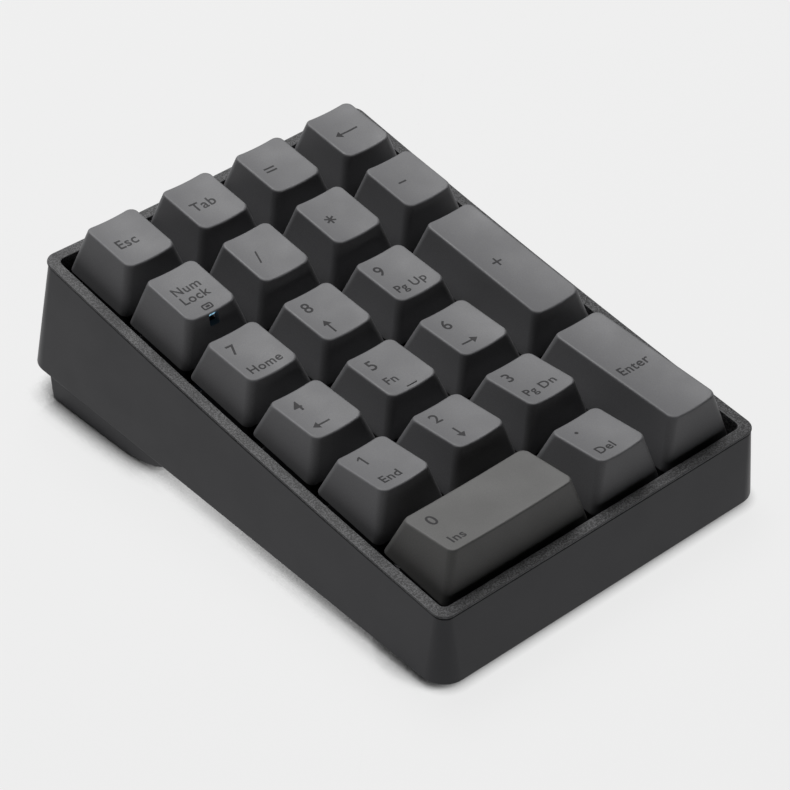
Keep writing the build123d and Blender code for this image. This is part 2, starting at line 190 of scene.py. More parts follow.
class Shell:
    """Collects rings of points into one closed mesh, with a weight for its rounded edges."""

    def __init__(self):
        self.points, self.edge, self.faces = [], [], []

    def ring(self, points, edge=0.0):
        first = len(self.points)
        self.points += [tuple(p) for p in points]
        self.edge += [edge] * len(points)
        return list(range(first, len(self.points)))

    def bridge(self, a, b):
        count = len(a)
        for i in range(count):
            j = (i + 1) % count
            self.faces.append((a[i], a[j], b[j], b[i]))

    def fan(self, ring, point, flip=False):
        centre = self.ring([point])[0]
        count = len(ring)
        for i in range(count):
            j = (i + 1) % count
            self.faces.append((ring[j], ring[i], centre) if flip else (ring[i], ring[j], centre))

    def stack(self, rings):
        """Bridges rings in order; each is (points, edge weight)."""
        made = [self.ring(points, edge) for points, edge in rings]
        for a, b in zip(made, made[1:]):
            self.bridge(a, b)
        return made

    def piece(self, name, material, to_world=place):
        mesh = bpy.data.meshes.new(name)
        mesh.from_pydata([to_world(p) for p in self.points], [], self.faces)
        weights = mesh.attributes.new("edge", "FLOAT", "POINT")
        weights.data.foreach_set("value", self.edge)
        return finish_piece(name, mesh, material)


def shade(mesh, outward=False):
    """Smooth shading but for the sharp edges, and faces turned outward if asked."""
    custom = mesh.attributes.get("custom_normal")
    if custom:
        mesh.attributes.remove(custom)
    work = bmesh.new()
    work.from_mesh(mesh)
    if outward:
        bmesh.ops.recalc_face_normals(work, faces=work.faces)
    for face in work.faces:
        face.smooth = True
    for edge in work.edges:
        edge.smooth = len(edge.link_faces) == 2 and edge.calc_face_angle() < SHARP
    work.to_mesh(mesh)
    work.free()


def finish_piece(name, mesh, material):
    """Object for a mesh: outward faces, smooth but for its sharp edges, flat faces kept flat."""
    shade(mesh, outward=True)
    piece = bpy.data.objects.new(name, mesh)
    piece.data.materials.append(material)
    COLLECTION.objects.link(piece)
    normals = piece.modifiers.new("flat_faces", "WEIGHTED_NORMAL")
    normals.keep_sharp = True
    return piece


def combine(piece, others, operation):
    """Cuts, joins or intersects a piece with others, which are used up."""
    for other in others:
        step = piece.modifiers.new("combine", "BOOLEAN")
        step.operation = operation
        step.object = other
        step.solver = "EXACT"
        keep_result(piece, step)
        bpy.data.objects.remove(other)


def keep_result(piece, step):
    """Keeps what one modifier makes as the piece's own mesh."""
    others = [m for m in piece.modifiers if m != step]
    for modifier in others:
        modifier.show_viewport = modifier.show_render = False
    bpy.context.view_layer.update()
    graph = bpy.context.evaluated_depsgraph_get()
    made = piece.evaluated_get(graph)
    mesh = bpy.data.meshes.new_from_object(made, preserve_all_data_layers=True, depsgraph=graph)
    piece.modifiers.remove(step)
    for modifier in others:
        modifier.show_viewport = modifier.show_render = True
    shade(mesh)
    old = piece.data
    piece.data = mesh
    bpy.data.meshes.remove(old)
    mesh.name = piece.name


def between(a, b, share):
    return tuple(p + (q - p) * share for p, q in zip(a, b))


def towards(a, b, distance):
    """Point that distance from a on the way to b."""
    span = (Vector(b) - Vector(a)).length
    return between(a, b, distance / span)


def rounded(before, corner, after, radius, steps):
    """Points of a rounded corner, from the side of before to the side of after."""
    start, end = towards(corner, before, radius), towards(corner, after, radius)
    arc = []
    for step in range(steps + 1):
        t = step / steps
        arc.append(between(between(start, corner, t), between(corner, end, t), t))
    return arc


def rounded_rings(before, corner, after, radius, steps):
    """The same for whole rings, each with edge weight 1 but for the first and last."""
    arcs = [rounded(*three, radius, steps) for three in zip(before, corner, after)]
    rings = []
    for step in range(steps + 1):
        rings.append(([arc[step] for arc in arcs], 0.0 if step in (0, steps) else 1.0))
    return rings


def part_way(start, end, shares):
    """Rings at some shares of the way between two rings."""
    return [([between(a, b, share) for a, b in zip(start, end)], 0.0) for share in shares]


# ------------------------------------------------------------ materials
def nodes_of(material):
    material.use_nodes = True
    tree = material.node_tree
    return tree, tree.nodes["Principled BSDF"]


def noise(tree, size_mm, detail=2.0, roughness=0.5, seed=0.0, stretch=(1, 1, 1)):
    """Factor output of a noise texture whose features are about size_mm across."""
    spot = tree.nodes.new("ShaderNodeTexCoord")
    mapping = tree.nodes.new("ShaderNodeMapping")
    mapping.inputs["Location"].default_value = (seed, seed * 0.7, seed * 1.3)
    mapping.inputs["Scale"].default_value = stretch
    texture = tree.nodes.new("ShaderNodeTexNoise")
    texture.inputs["Scale"].default_value = 1 / (size_mm * MM)
    texture.inputs["Detail"].default_value = detail
    texture.inputs["Roughness"].default_value = roughness
    tree.links.new(spot.outputs["Object"], mapping.inputs["Vector"])
    tree.links.new(mapping.outputs["Vector"], texture.inputs["Vector"])
    return texture.outputs["Fac"]


def ranged(tree, value, low_in, high_in, low_out, high_out):
    node = tree.nodes.new("ShaderNodeMapRange")
    node.inputs["From Min"].default_value = low_in
    node.inputs["From Max"].default_value = high_in
    node.inputs["To Min"].default_value = low_out
    node.inputs["To Max"].default_value = high_out
    tree.links.new(value, node.inputs["Value"])
    return node.outputs["Result"]


def blended(tree, factor, first, second):
    """Colour mixed by factor; first and second are colours or sockets."""
    node = tree.nodes.new("ShaderNodeMix")
    node.data_type = "RGBA"
    tree.links.new(factor, node.inputs["Factor"])
    for socket, value in (("A", first), ("B", second)):
        target = [i for i in node.inputs if i.name == socket and i.type == "RGBA"][0]
        if isinstance(value, bpy.types.NodeSocket):
            tree.links.new(value, target)
        else:
            target.default_value = (*value, 1)
    return [o for o in node.outputs if o.type == "RGBA"][0]


def bumped(tree, shader, height, depth_mm):
    bump = tree.nodes.new("ShaderNodeBump")
    bump.inputs["Distance"].default_value = depth_mm * MM
    tree.links.new(height, bump.inputs["Height"])
    tree.links.new(bump.outputs["Normal"], shader.inputs["Normal"])


def edge_weight(tree):
    node = tree.nodes.new("ShaderNodeAttribute")
    node.attribute_name = "edge"
    return node.outputs["Fac"]


def tinted(colour, share):
    return tuple(c * share for c in colour)


def moulded(
    name,
    colour,
    rough,
    grain_mm=0.22,
    contrast=0.12,
    depth_mm=0.006,
    edge=1.0,
    specular=0.5,
    flecks=(0.3, 0.7),
):
    """Moulded plastic: fine grain, soft mottling, and rounded edges painted edge times as light, partly as wear
    and partly as a painted highlight.
    """
    material = bpy.data.materials.new(name)
    tree, shader = nodes_of(material)
    grain = noise(tree, grain_mm, 3.0, 0.6)
    mottle = noise(tree, 9.0, 2.0, 0.5, seed=0.3)
    fine = ranged(tree, grain, *flecks, 0.0, 1.0)
    base = blended(tree, fine, tinted(colour, 1 - contrast), tinted(colour, 1 + contrast))
    soft = ranged(tree, mottle, 0.3, 0.7, 0.0, 0.35)
    base = blended(tree, soft, base, tinted(colour, 1 - contrast / 2))
    # rounded edges made lighter: partly wear, partly a painted highlight
    wear_and_painted_highlight = ranged(tree, edge_weight(tree), 0.0, 1.0, 0.0, 0.6)
    base = blended(tree, wear_and_painted_highlight, base, tinted(colour, edge))
    tree.links.new(base, shader.inputs["Base Color"])
    dull = ranged(tree, mottle, 0.3, 0.7, rough - 0.05, rough + 0.05)
    tree.links.new(dull, shader.inputs["Roughness"])
    shader.inputs["Specular IOR Level"].default_value = specular
    bumped(tree, shader, grain, depth_mm)
    return material


def metal(name, colour, rough, stretch=(1, 1, 1), depth_mm=0.002):
    """Bare metal with fine marks, stretched along its brushing."""
    material = bpy.data.materials.new(name)
    tree, shader = nodes_of(material)
    marks = noise(tree, 0.4, 4.0, 0.6, stretch=stretch)
    stain = noise(tree, 6.0, 2.0, 0.5, seed=0.6)
    base = blended(tree, ranged(tree, stain, 0.3, 0.7, 0.0, 1.0), tinted(colour, 0.85), colour)
    tree.links.new(base, shader.inputs["Base Color"])
    tree.links.new(ranged(tree, marks, 0.3, 0.7, rough - 0.08, rough + 0.1), shader.inputs["Roughness"])
    shader.inputs["Metallic"].default_value = 1.0
    bumped(tree, shader, marks, depth_mm)
    return material


def circuit(name):
    """Green solder mask over copper tracks."""
    material = bpy.data.materials.new(name)
    tree, shader = nodes_of(material)
    weave = noise(tree, 0.5, 2.0, 0.5, stretch=(1, 4, 1))
    tracks = tree.nodes.new("ShaderNodeTexVoronoi")
    tracks.feature = "DISTANCE_TO_EDGE"
    tracks.inputs["Scale"].default_value = 1 / (5 * MM)
    spot = tree.nodes.new("ShaderNodeTexCoord")
    tree.links.new(spot.outputs["Object"], tracks.inputs["Vector"])
    line = ranged(tree, tracks.outputs["Distance"], 0.03, 0.06, 1.0, 0.0)
    base = blended(tree, line, (0.012, 0.075, 0.03), (0.03, 0.15, 0.06))
    tree.links.new(base, shader.inputs["Base Color"])
    tree.links.new(ranged(tree, weave, 0.3, 0.7, 0.25, 0.4), shader.inputs["Roughness"])
    bumped(tree, shader, line, 0.02)
    return material


def lamp_lens(name):
    """Clear lens lit from behind, brightest where its glow weight says."""
    material = bpy.data.materials.new(name)
    tree, shader = nodes_of(material)
    cloud = noise(tree, 0.5, 2.0, 0.5)
    base = blended(tree, cloud, (0.02, 0.08, 0.15), (0.06, 0.16, 0.26))
    tree.links.new(base, shader.inputs["Base Color"])
    tree.links.new(ranged(tree, cloud, 0.3, 0.7, 0.12, 0.22), shader.inputs["Roughness"])
    glow = blended(tree, edge_weight(tree), (0.012, 0.07, 0.14), (0.38, 0.7, 0.9))
    tree.links.new(glow, shader.inputs["Emission Color"])
    shader.inputs["Emission Strength"].default_value = 1.0
    bumped(tree, shader, cloud, 0.01)
    return material


CAP = (0.13, 0.13, 0.135)
CAP_WARM = (0.1, 0.099, 0.097)
MATERIALS = {
    "cap_grey": moulded("cap_grey", CAP, 0.52, specular=0.3),
    "cap_zero": moulded("cap_zero", CAP_WARM, 0.55, specular=0.3),
    "frame_plastic": moulded(
        "frame_plastic",
        (0.05, 0.05, 0.052),
        0.48,
        grain_mm=0.32,
        contrast=0.9,
        depth_mm=0.07,
        # painted highlight: the frame's rounded edges are painted 2.1 times as light
        edge=2.1,
        specular=0.24,
        flecks=(0.44, 0.6),
    ),
    "case_plastic": moulded(
        "case_plastic",
        (0.04, 0.04, 0.0435),
        0.36,
        grain_mm=0.3,
        contrast=0.05,
        depth_mm=0.003,
        edge=1.1,
        specular=0.16,
    ),
    "foot_rubber": moulded("foot_rubber", (0.018, 0.018, 0.018), 0.8, 0.3, 0.2, 0.01, 1.3),
    "plate_steel": metal("plate_steel", (0.2, 0.2, 0.21), 0.45, (1, 12, 1)),
    "board": circuit("board"),
    "screw_steel": metal("screw_steel", (0.5, 0.5, 0.51), 0.35),
    "chip_black": moulded("chip_black", (0.02, 0.02, 0.02), 0.6, 0.15, 0.2),
    "socket_steel": metal("socket_steel", (0.62, 0.62, 0.63), 0.28, (1, 6, 1)),
    "switch_black": moulded("switch_black", (0.022, 0.022, 0.024), 0.5, 0.3, 0.1),
    "spring_steel": metal("spring_steel", (0.6, 0.6, 0.6), 0.3, (1, 1, 14)),
    "contact_brass": metal("contact_brass", (0.75, 0.56, 0.26), 0.3, (1, 1, 8)),
    "led_lens": lamp_lens("led_lens"),
    "wire_steel": metal("wire_steel", (0.6, 0.6, 0.61), 0.3, (14, 1, 1)),
    "stem_plastic": moulded("stem_plastic", (0.26, 0.26, 0.28), 0.45, 0.3, 0.08),
}
INK = moulded("legend_ink", (0.02, 0.019, 0.021), 0.65, 0.12, 0.3, 0.004, specular=0.3)
GOLD = metal("contact_gold", (0.8, 0.62, 0.28), 0.25)

for part in frame["record"]["subparts"]:
    cad_mesh = frame["nodes"][part["node"]].data
    cad_mesh.materials.clear()
    cad_mesh.materials.append(MATERIALS[part["material_slot"]])


# ------------------------------------------------------------ key caps
class Cap:
    """Where one cap stands and the shape of its dished top."""

    def __init__(self, key, front, rear):
        self.key = key
        self.x, self.half_w = middle_and_half("keycap_" + key, RIGHT)
        self.v, self.half_l = middle_and_half("keycap_" + key, BACK)
        self.top_w, self.top_l = self.half_w - SIDE_LEAN, self.half_l - END_LEAN
        self.wide = self.half_w > self.half_l
        self.side_steps = (22, 8) if self.wide else (8, 8)
        self.dish = LONG_DISH if self.wide else DISH
        self.middle = (front + rear) / 2
        self.slope = (rear - front) / (2 * self.top_l)

    def top(self, x, along, depth=None, lift=0.0):
        """Point of the top, from its middle, sunk by the dish unless a depth is given."""
        sunk = self.dish * (1 - min(1.0, (x / self.top_w) ** 2)) if depth is None else depth
        sunk -= lift
        return (
            self.x + x,
            self.v + BACK_SHIFT + along * cos(self.slope) + sunk * sin(self.slope),
            self.middle + along * sin(self.slope) - sunk * cos(self.slope),
        )

    def outline(self, inset, radius):
        """Outline of the top, drawn in by inset."""
        half_w, half_l = self.top_w - inset, self.top_l - inset
        return rounded_rect(half_w, half_l, radius, side_steps=self.side_steps)

    def foot(self, inset, radius, level):
        """Outline of the skirt's lower end."""
        half_w, half_l = self.half_w - inset, self.half_l - inset
        points = rounded_rect(half_w, half_l, radius, side_steps=self.side_steps)
        return [(self.x + x, self.v + v, level) for x, v in points]


def cap_body(cap, material):
    """The cap as one closed shell: skirt, rounded edge, dish, wall thickness and roof."""
    low = cap.foot(0, SKIRT_R, CAP_BOTTOM)
    sharp = []
    for start, (x, along) in zip(low, cap.outline(0, TOP_R)):
        end = cap.top(x, along, depth=0)
        sunk = cap.dish * (1 - (x / cap.top_w) ** 2)
        sharp.append(between(end, start, sunk / (end[2] - start[2])))
    dish = cap.outline(DISH_INSET, TOP_R - 0.5)
    dish_edge = [cap.top(x, along) for x, along in dish]
    inner_low = cap.foot(CAP_WALL, INNER_R, CAP_BOTTOM)
    ceiling = CAP_ROOF + cap.dish
    roof = [cap.top(x, along, depth=ceiling) for x, along in cap.outline(CAP_TOP_WALL, INNER_R)]
    shell = Shell()
    rings = rounded_rings(inner_low, low, sharp, CAP_LOW_EDGE, 2)
    rings += part_way(low, sharp, (0.1, 0.35, 0.65, 0.9))
    rings += rounded_rings(low, sharp, dish_edge, CAP_EDGE, 5)
    rings.append((dish_edge, 0.0))
    for share in DISH_RINGS:
        rings.append(([cap.top(x * share, along * share) for x, along in dish], 0.0))
    made = shell.stack(rings)
    shell.fan(made[-1], cap.top(0, 0))
    inside = shell.stack(part_way(inner_low, roof, (0, 0.5, 1)))
    shell.bridge(inside[0], made[0])
    shell.fan(inside[-1], cap.top(0, 0, depth=ceiling), flip=True)
    for x, v in posts_of(cap):
        above = cap.top(x - cap.x, v - cap.v - BACK_SHIFT, depth=CAP_ROOF / 2 + cap.dish)
        cross_post(shell, (x, v), above[2])
    return shell.piece("cap_" + cap.key, material)


def posts_of(cap):
    """Places of the cross sockets: the switch, and the stabilisers of a long key."""
    if cap.wide:
        return [(cap.x + dx, cap.v) for dx in (-STAB_REACH, 0, STAB_REACH)]
    if cap.half_l > 1.5 * cap.half_w:
        return [(cap.x, cap.v + dv) for dv in (-STAB_REACH, 0, STAB_REACH)]
    return [(cap.x, cap.v)]


def cross_outline():
    """Outline of the cross socket: the end of each arm and the inner corner after it."""
    long, wide = CROSS_LONG / 2, CROSS_WIDE / 2
    points = []
    for turn in range(4):
        c, s = cos(turn * pi / 2), sin(turn * pi / 2)
        arm = [(long, -wide), (long, 0), (long, wide)]
        arm += [(wide + CROSS_CORNER, wide), (wide, wide), (wide, wide + CROSS_CORNER)]
        points += [(x * c - v * s, x * s + v * c) for x, v in arm]
    return points


def cross_post(shell, post, top):
    """Round post with the cross socket in its lower end."""
    cross = cross_outline()
    angles = [atan2(v, x) for x, v in cross]
    post_side = [(CROSS_POST_R * cos(angle), CROSS_POST_R * sin(angle)) for angle in angles]

    def at(outline, level):
        return [(post[0] + x, post[1] + v, level) for x, v in outline]

    mouth = CROSS_LEVEL + CROSS_TALL
    rings = [(at(cross, mouth), 0.0), (at(cross, CROSS_LEVEL), 0.0)]
    rings += [(at(post_side, CROSS_LEVEL), 0.0), (at(post_side, top), 0.0)]
    made = shell.stack(rings)
    shell.fan(made[0], (*post, mouth))
    shell.fan(made[-1], (*post, top))


def box_shell(name, points_low, points_high, material):
    """Closed prism between two outlines."""
    shell = Shell()
    made = shell.stack([(points_low, 0.0), (points_high, 0.0)])
    for ring in made:
        shell.fan(ring, mean_point([shell.points[i] for i in ring]))
    return shell.piece(name, material)


def cut_window(piece, cap):
    """Slot through the front of the Num Lock cap."""
    half_w, half_h = WINDOW_W / 2, (WINDOW_HIGH - WINDOW_LOW) / 2
    outline = rounded_rect(half_w, half_h, WINDOW_R, 4, (1, 1))
    middle = (WINDOW_HIGH + WINDOW_LOW) / 2
    before, behind = 12, 5  # the slot's ends, in front of the cap's middle
    slot = [[(cap.x + x, cap.v - end, middle + n) for x, n in outline] for end in (before, behind)]
    combine(piece, [box_shell("slot", *slot, MATERIALS["cap_grey"])], "DIFFERENCE")


def lock_lens(cap):
    """Lens behind the top of the slot, with two bright spots."""
    half_w = WINDOW_W / 2 - 0.02
    level = WINDOW_HIGH - LENS_HALF_H - 0.1
    front = cap.v + BACK_SHIFT - cap.top_l + LENS_SUNK
    shell = Shell()
    outline = rounded_rect(half_w, LENS_HALF_H, LENS_R, 4, (10, 2))
    rings = []
    for share, out in ((1.0, -LENS_BACK), (1.0, 0.0), (0.85, 0.6), (0.6, 0.85), (0.3, 0.97)):
        rings.append(([(x * share, n * share, out * LENS_BULGE) for x, n in outline], 0.0))
    made = shell.stack(rings)
    shell.fan(made[-1], (0, 0, LENS_BULGE))
    shell.fan(made[0], (0, 0, -LENS_BACK * LENS_BULGE))
    for index, (x, n, out) in enumerate(shell.points):
        spots = [hypot(x - side * GLOW_X, n + GLOW_LOW) / GLOW_R for side in (-1, 1)]
        shell.edge[index] = min(1.0, sum(exp(-spot * spot) for spot in spots))
        shell.points[index] = (cap.x + x, front - out, level + n)
    lens = shell.piece("lock_window_lens", MATERIALS["led_lens"])
    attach(lens, "key_numlock")


def homing_bar(cap):
    """Raised bar near the front edge of the middle key, sunk into its top."""
    shell = Shell()
    outline = rounded_rect(BAR_HALF_L, BAR_HALF_W, BAR_R, 5, (8, 1))
    rings = []
    for share, lift in ((1.0, -BAR_SUNK), (1.0, 0.05), (0.85, 0.12), (0.55, 0.16)):
        length_share = 1 - (1 - share) * 0.2
        ring = [(BAR_X + x * length_share, BAR_ALONG + along * share) for x, along in outline]
        rings.append(([cap.top(x, along, lift=lift) for x, along in ring], 0.0))
    made = shell.stack(rings)
    shell.fan(made[-1], cap.top(BAR_X, BAR_ALONG, lift=BAR_LIFT))
    shell.fan(made[0], cap.top(BAR_X, BAR_ALONG, lift=-BAR_SUNK))
    piece = shell.piece("homing_bar", MATERIALS["cap_grey"])
    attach(piece, "key_5")


def return_spring(cap):
    """Coil spring of one switch, with closed end turns."""
    middle, half = middle_and_half("switch_springs", UP)
    low, length = middle - half, 2 * half
    open_turns = SPRING_TURNS - 2
    pitch = (length - 2 * WIRE_R - 2 * END_PITCH) / open_turns
    wire = circle(0, 0, WIRE_R, WIRE_STEPS)
    rings = []
    for step in range(SPRING_TURNS * COIL_STEPS + 1):
        turn = step / COIL_STEPS
        level = low + WIRE_R + min(turn, 1) * END_PITCH
        level += min(max(turn - 1, 0), open_turns) * pitch
        level += max(turn - 1 - open_turns, 0) * END_PITCH
        c, s = cos(2 * pi * turn), sin(2 * pi * turn)
        spots = [(SPRING_R + out, level + up) for out, up in wire]
        rings.append(([(cap.x + reach * c, cap.v + reach * s, n) for reach, n in spots], 0.0))
    shell = Shell()
    made = shell.stack(rings)
    shell.faces += [tuple(made[0]), tuple(made[-1])]
    piece = shell.piece("spring_" + cap.key, MATERIALS["spring_steel"])
    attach(piece, "case")
    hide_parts("switch_springs")
    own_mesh(piece)


# ------------------------------------------------------------ legends
CAPITAL = 0.73  # height of a capital in the built-in font at size 1
DIGIT, WORD, STROKE = 3.0, 2.2, 0.42
BOLDER = 0.05  # how far the built-in font's strokes are thickened, on each side
SPACING = 1.08  # of the letters, as a share of the font's own
HEAD_L, HEAD_HALF_W = 1.45, 1.0  # arrow head
ONE_W, FLAG_DROP, FLAG_LOW, FLAG_NOTCH = 1.15, 0.65, 1.1, 0.5
INK_LIFT, INK_DEPTH = 0.022, 0.12
STRIP_W = 0.5  # the print is cut into strips so that it can follow the dish


def lettering(text, height, left, base):
    """Flat mesh of some text: list of points (x, v) and list of faces."""
    curve = bpy.data.curves.new("lettering", "FONT")
    curve.body = text
    curve.size = height / CAPITAL
    curve.resolution_u = 6
    curve.offset = BOLDER
    curve.space_character = SPACING
    holder = bpy.data.objects.new("lettering", curve)
    COLLECTION.objects.link(holder)
    bpy.context.view_layer.update()
    made = holder.evaluated_get(bpy.context.evaluated_depsgraph_get())
    mesh = bpy.data.meshes.new_from_object(made)
    start = min(v.co.x for v in mesh.vertices)
    points = [(v.co.x - start + left, v.co.y + base) for v in mesh.vertices]
    faces = [tuple(p.vertices) for p in mesh.polygons]
    bpy.data.objects.remove(holder)
    bpy.data.curves.remove(curve)
    bpy.data.meshes.remove(mesh)
    return points, faces


def polygon(points):
    return points, [tuple(range(len(points)))]


def bar(x, v, width, height):
    w, h = width / 2, height / 2
    return polygon([(x - w, v - h), (x + w, v - h), (x + w, v + h), (x - w, v + h)])


def arrow(x, v, length, turn):
    """Arrow with a solid head, its middle at x, v, pointing right and then turned, in degrees."""
    shaft, tip, tail = STROKE / 2, length / 2, -length / 2
    neck = tip - HEAD_L
    shape = [(tip, 0), (neck, HEAD_HALF_W), (neck, shaft), (tail, shaft)]
    shape += [(tail, -shaft), (neck, -shaft), (neck, -HEAD_HALF_W)]
    c, s = cos(radians(turn)), sin(radians(turn))
    return polygon([(x + a * c - b * s, v + a * s + b * c) for a, b in shape])


def star(x, v, radius):
    """Six-armed star with straight arms."""
    half = STROKE / 2
    points = []
    for arm in range(6):
        angle = pi / 6 + arm * pi / 3
        c, s = cos(angle), sin(angle)
        points.append((x + radius * c + half * s, v + radius * s - half * c))
        points.append((x + radius * c - half * s, v + radius * s + half * c))
        notch = angle + pi / 6
        points.append((x + STROKE * cos(notch), v + STROKE * sin(notch)))
    return polygon(points)


def dot(x, v, radius):
    return polygon(circle(x, v, radius, 24))


def loop_strip(x, v, half_w, half_h, stroke):
    """Line round a rounded box, as a band of quads."""
    outer_r, inner_r = 0.4, 0.2
    outer = rounded_rect(half_w, half_h, outer_r, 4, (1, 1))
    inner = rounded_rect(half_w - stroke, half_h - stroke, inner_r, 4, (1, 1))
    count = len(outer)
    points = [(x + a, v + b) for a, b in outer + inner]
    faces = [(i, (i + 1) % count, count + (i + 1) % count, count + i) for i in range(count)]
    return points, faces


def digit(text, left, base):
    return lettering(text, DIGIT, left, base)


def digit_one(left, base):
    """A 1 with a flag, which the built-in font's doesn't have."""
    right, top = left + ONE_W, base + DIGIT
    edge = right - STROKE
    flag = [(left, top - FLAG_DROP), (left, top - FLAG_LOW), (edge, top - FLAG_NOTCH)]
    return polygon([(right, base), (right, top), (edge, top)] + flag + [(edge, base)])


def word(text, left, base, height=WORD):
    return lettering(text, height, left, base)


def plus(x, v, width):
    """A bar across, and the halves of the upright above and below, which run a little way into it."""
    start, end = STROKE / 2 - 0.03, width / 2
    middle, height = (start + end) / 2, end - start
    halves = [bar(x, v + side * middle, STROKE, height) for side in (1, -1)]
    return [bar(x, v, width, STROKE)] + halves


LEGENDS = {
    "esc": [word("Esc", -3.6, -1.7, 2.6)],
    "tab": [word("Tab", -3.7, -1.7, 2.6)],
    "equals": [bar(-2.0, 0.25, 2.7, STROKE), bar(-2.0, -0.75, 2.7, STROKE)],
    "back": [arrow(-0.5, -0.35, 5.8, 180)],
    "numlock": [
        word("Num", -3.45, 0.15, 2.3),
        word("Lock", -3.45, -2.75, 2.3),
        loop_strip(0.0, -5.25, 1.2, 0.8, 0.34),
        bar(0.1, -5.25, 0.9, 0.5),
    ],
    "divide": [polygon([(-2.75, -1.9), (-2.35, -1.9), (-1.25, 1.4), (-1.65, 1.4)])],
    "multiply": [star(-2.1, -0.15, 1.25)],
    "minus": [bar(-1.5, 0.0, 2.0, STROKE)],
    "7": [digit("7", -3.5, 1.3), word("Home", -4.1, -5.1)],
    "8": [digit("8", -3.4, 1.8), arrow(-2.3, -3.5, 4.0, 90)],
    "9": [digit("9", -3.8, 1.4), word("Pg Up", -4.1, -4.65)],
    "plus": plus(-1.45, -0.15, 2.4),
    "4": [digit("4", -3.2, 1.6), arrow(-1.85, -3.7, 4.1, 180)],
    "5": [digit("5", -3.3, 1.6), word("Fn", -3.7, -3.6)],
    "6": [digit("6", -2.9, 1.5), arrow(-1.7, -3.7, 4.1, 0)],
    "1": [digit_one(-2.7, 1.9), word("End", -3.6, -4.7)],
    "2": [digit("2", -3.4, 2.2), arrow(-2.1, -2.75, 3.7, 270)],
    "3": [digit("3", -3.5, 2.0), word("Pg Dn", -4.1, -3.95)],
    "enter": [word("Enter", -4.1, -1.15, 2.4)],
    "0": [digit("0", -12.6, 1.5), word("Ins", -13.25, -4.9)],
    "dot": [dot(-2.4, 3.5, 0.4), word("Del", -3.9, -4.6)],
}


def sliced(shapes):
    """One flat mesh of all shapes, cut into narrow strips."""
    work = bmesh.new()
    for points, faces in shapes:
        corners = [work.verts.new((x, v, 0)) for x, v in points]
        for face in faces:
            work.faces.new([corners[i] for i in face])
    bmesh.ops.remove_doubles(work, verts=work.verts, dist=0.0005)
    bmesh.ops.triangulate(work, faces=work.faces)
    low = min(v.co.x for v in work.verts)
    high = max(v.co.x for v in work.verts)
    cut = low + STRIP_W
    while cut < high:
        geom = work.verts[:] + work.edges[:] + work.faces[:]
        bmesh.ops.bisect_plane(work, geom=geom, dist=1e-5, plane_co=(cut, 0, 0), plane_no=(1, 0, 0))
        cut += STRIP_W
    return work


def legend(cap):
    """Thin print on the dish, as a closed solid."""
    work = sliced(LEGENDS[cap.key])
    work.verts.ensure_lookup_table()
    work.verts.index_update()
    count = len(work.verts)
    places = [cap.top(v.co.x, v.co.y, lift=INK_LIFT) for v in work.verts]
    places += [cap.top(v.co.x, v.co.y, lift=-INK_DEPTH) for v in work.verts]
    faces = []
    for face in work.faces:
        ring = [v.index for v in face.verts]
        faces.append(tuple(ring))
        faces.append(tuple(count + i for i in reversed(ring)))
    for edge in work.edges:
        if len(edge.link_faces) == 1:
            a, b = (v.index for v in edge.verts)
            faces.append((a, b, count + b, count + a))
    work.free()
    name = "legend_" + cap.key
    mesh = bpy.data.meshes.new(name)
    mesh.from_pydata([place(p) for p in places], [], faces)
    piece = finish_piece(name, mesh, INK)
    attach(piece, "key_" + cap.key)


def make_keys():
    for names, (front, rear) in TOP_LEVELS.items():
        for key in names:
            cap = Cap(key, front, rear)
            slot = "cap_zero" if key == "0" else "cap_grey"
            piece = cap_body(cap, MATERIALS[slot])
            if key == "numlock":
                cut_window(piece, cap)
                lock_lens(cap)
            if key == "5":
                homing_bar(cap)
            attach(piece, "key_" + key)
            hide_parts("keycap_" + key)
            legend(cap)
            return_spring(cap)


# ------------------------------------------------------------ case
def sag(v):
    """How far the rim's surface lies under its ends at v."""
    return RIM_SAG * (1 - (v / RIM_HALF_L) ** 2)


STRAIGHT_STEPS, CORNER_STEPS = (14, 30), 10  # along the short and the long sides, and round a corner


def bowed_rect(half_w, front, rear, front_r, back_r):
    """Outline with its own corner radius at the front and back, and the bowed back edge."""
    points = []
    for quarter in range(4):
        radius = back_r if quarter in (0, 1) else front_r
        cx = (half_w - radius) * (1 if quarter in (0, 3) else -1)
        cv = rear - radius if quarter in (0, 1) else front + radius
        for step in range(CORNER_STEPS + 1):
            angle = pi / 2 * (quarter + step / CORNER_STEPS)
            points.append((cx + radius * cos(angle), cv + radius * sin(angle)))
    outline = []
    for index, point in enumerate(points):
        outline.append(point)
        if index % (CORNER_STEPS + 1) == CORNER_STEPS:
            steps = STRAIGHT_STEPS[(index // (CORNER_STEPS + 1)) % 2]
            following = points[(index + 1) % len(points)]
            outline += [between(point, following, step / steps) for step in range(1, steps)]
    middle = (front + rear) / 2
    bowed = []
    for x, v in outline:
        share = max(0.0, (v - middle) / (rear - middle))
        bowed.append((x, v - BACK_BOW * share * (1 - (x / half_w) ** 2)))
    return bowed


def frame_loop(inset):
    """Outline of the frame, drawn in by inset."""
    radius = RIM_CORNER - inset * (RIM_CORNER - OPENING_CORNER) / RIM_W
    half_l = RIM_HALF_L - inset
    return bowed_rect(RIM_HALF_W - inset, -half_l, half_l + BACK_BOW, radius, radius)


